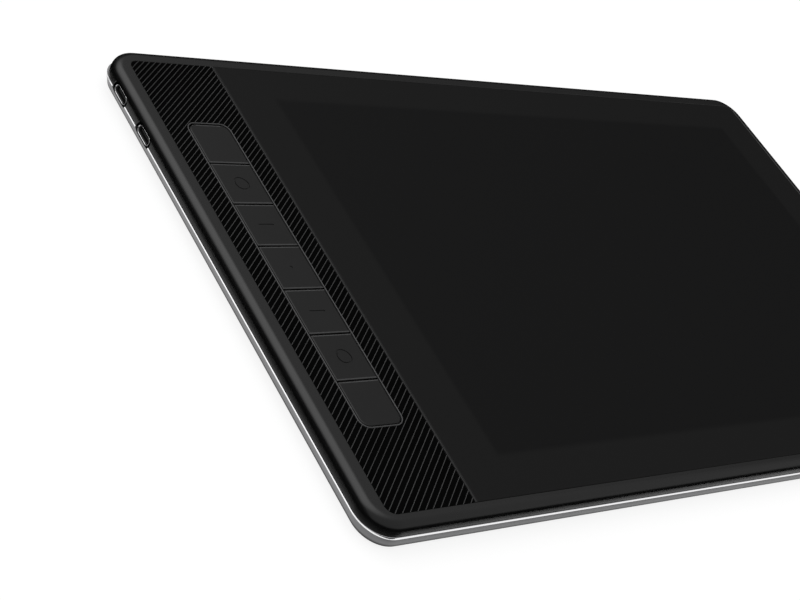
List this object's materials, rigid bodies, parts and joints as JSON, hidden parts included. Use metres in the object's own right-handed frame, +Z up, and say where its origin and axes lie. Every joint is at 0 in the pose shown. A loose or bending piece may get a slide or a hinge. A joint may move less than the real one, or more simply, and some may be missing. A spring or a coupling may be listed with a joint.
{
  "type": "graphics tablet with screen",
  "caption": "Slim pen display: black casing over a silver metal cover, ribbed panel with a strip of press keys, USB-C ports on the left, fold-out legs beneath.",
  "frame": {"origin": "on the plane the rubber feet rest on, under the middle of the casing", "axes": "+X along the tablet away from the press keys, +Y towards its far edge, +Z up through the screen"},
  "size_m": [0.3826, 0.2262, 0.0125],
  "materials": {
    "casing_black": "soft satin black moulding",
    "panel_black": "matt black with fine slanted ridges",
    "divider_black": "satin black trim",
    "key_black": "fine matt black",
    "button_black": "satin black",
    "cover_aluminium": "bead-blasted silver with a polished chamfer",
    "screen_glass": "etched cover glass, black behind, screen off",
    "tape_black": "black adhesive tape",
    "bond_clear": "clear optical adhesive",
    "lcd_glass": "dark display panel, off",
    "film_white": "white translucent film",
    "guide_clear": "clear acrylic with printed dots",
    "board_white": "white solder mask",
    "board_green": "green solder mask",
    "pressed_steel": "plain pressed steel",
    "shield_aluminium": "rolled foil",
    "foam_grey": "closed-cell foam",
    "chip_black": "moulded epoxy",
    "coil_grey": "pressed ferrite",
    "capacitor_tan": "fired ceramic",
    "socket_cream": "moulded nylon",
    "flex_amber": "polyimide film",
    "switch_steel": "small pressed steel switch",
    "port_steel": "drawn steel shell",
    "port_black": "black moulded core",
    "screw_steel": "blackened steel",
    "leg_grey": "grey anodised casting",
    "pin_steel": "ground steel",
    "foot_rubber": "matt black rubber"
  },
  "bodies": {
    "tablet": {"upper_casing": "casing_black", "bottom_cover": "cover_aluminium", "cover_glass": "screen_glass", "glass_tape": "tape_black", "divider": "divider_black", "key_panel": "panel_black", "key_board": "board_green", "key_switches": "switch_steel", "optical_bond": "bond_clear", "lcd_panel": "lcd_glass", "diffuser_films": "film_white", "light_guide": "guide_clear", "reflector_sheet": "film_white", "led_strip": "board_white", "backlight_frame": "pressed_steel", "digitizer_board": "board_green", "digitizer_shield": "shield_aluminium", "foam_pads": "foam_grey", "main_board": "board_green", "display_driver_board": "board_green", "power_board": "board_green", "scaler_chip": "chip_black", "memory_chip": "chip_black", "shield_cans": "pressed_steel", "power_coils": "coil_grey", "capacitors": "capacitor_tan", "board_sockets": "socket_cream", "display_flexes": "flex_amber", "display_cable": "flex_amber", "digitizer_flex": "flex_amber", "key_flex": "flex_amber", "power_flex": "flex_amber", "power_switch": "switch_steel", "case_screws": "screw_steel", "board_screws": "screw_steel", "key_board_screws": "screw_steel", "usb_c_shell_1": "port_steel", "usb_c_core_1": "port_black", "usb_c_shell_2": "port_steel", "usb_c_core_2": "port_black", "hinge_pin_left": "pin_steel", "hinge_pin_right": "pin_steel", "rubber_foot_1": "foot_rubber", "rubber_foot_2": "foot_rubber", "rubber_foot_3": "foot_rubber", "rubber_foot_4": "foot_rubber"},
    "key_1": {"key_1": "key_black"},
    "key_2": {"key_2": "key_black"},
    "key_3": {"key_3": "key_black"},
    "key_4": {"key_4": "key_black"},
    "key_5": {"key_5": "key_black"},
    "key_6": {"key_6": "key_black"},
    "key_7": {"key_7": "key_black"},
    "power_button": {"power_button": "button_black"},
    "leg_left": {"leg_left": "leg_grey", "leg_pad_left": "foot_rubber"},
    "leg_right": {"leg_right": "leg_grey", "leg_pad_right": "foot_rubber"}
  },
  "joints": [
    {"name": "key_1_press", "type": "slide", "parent": "tablet", "child": "key_1", "axis": [0, 0, -1], "range_m": [0, 0.0005], "stiffness_N_per_m": 1200},
    {"name": "key_2_press", "type": "slide", "parent": "tablet", "child": "key_2", "axis": [0, 0, -1], "range_m": [0, 0.0005], "stiffness_N_per_m": 1200},
    {"name": "key_3_press", "type": "slide", "parent": "tablet", "child": "key_3", "axis": [0, 0, -1], "range_m": [0, 0.0005], "stiffness_N_per_m": 1200},
    {"name": "key_4_press", "type": "slide", "parent": "tablet", "child": "key_4", "axis": [0, 0, -1], "range_m": [0, 0.0005], "stiffness_N_per_m": 1200},
    {"name": "key_5_press", "type": "slide", "parent": "tablet", "child": "key_5", "axis": [0, 0, -1], "range_m": [0, 0.0005], "stiffness_N_per_m": 1200},
    {"name": "key_6_press", "type": "slide", "parent": "tablet", "child": "key_6", "axis": [0, 0, -1], "range_m": [0, 0.0005], "stiffness_N_per_m": 1200},
    {"name": "key_7_press", "type": "slide", "parent": "tablet", "child": "key_7", "axis": [0, 0, -1], "range_m": [0, 0.0005], "stiffness_N_per_m": 1200},
    {"name": "power_press", "type": "slide", "parent": "tablet", "child": "power_button", "axis": [0, -1, 0], "range_m": [0, 0.0003], "stiffness_N_per_m": 3000},
    {"name": "leg_left_hinge", "type": "hinge", "parent": "tablet", "child": "leg_left", "pos_m": [-0.1055, 0.0806, 0.0026], "axis": [1, 0, 0], "range_deg": [0, 110]},
    {"name": "leg_right_hinge", "type": "hinge", "parent": "tablet", "child": "leg_right", "pos_m": [0.1055, 0.0806, 0.0026], "axis": [1, 0, 0], "range_deg": [0, 110]}
  ]
}
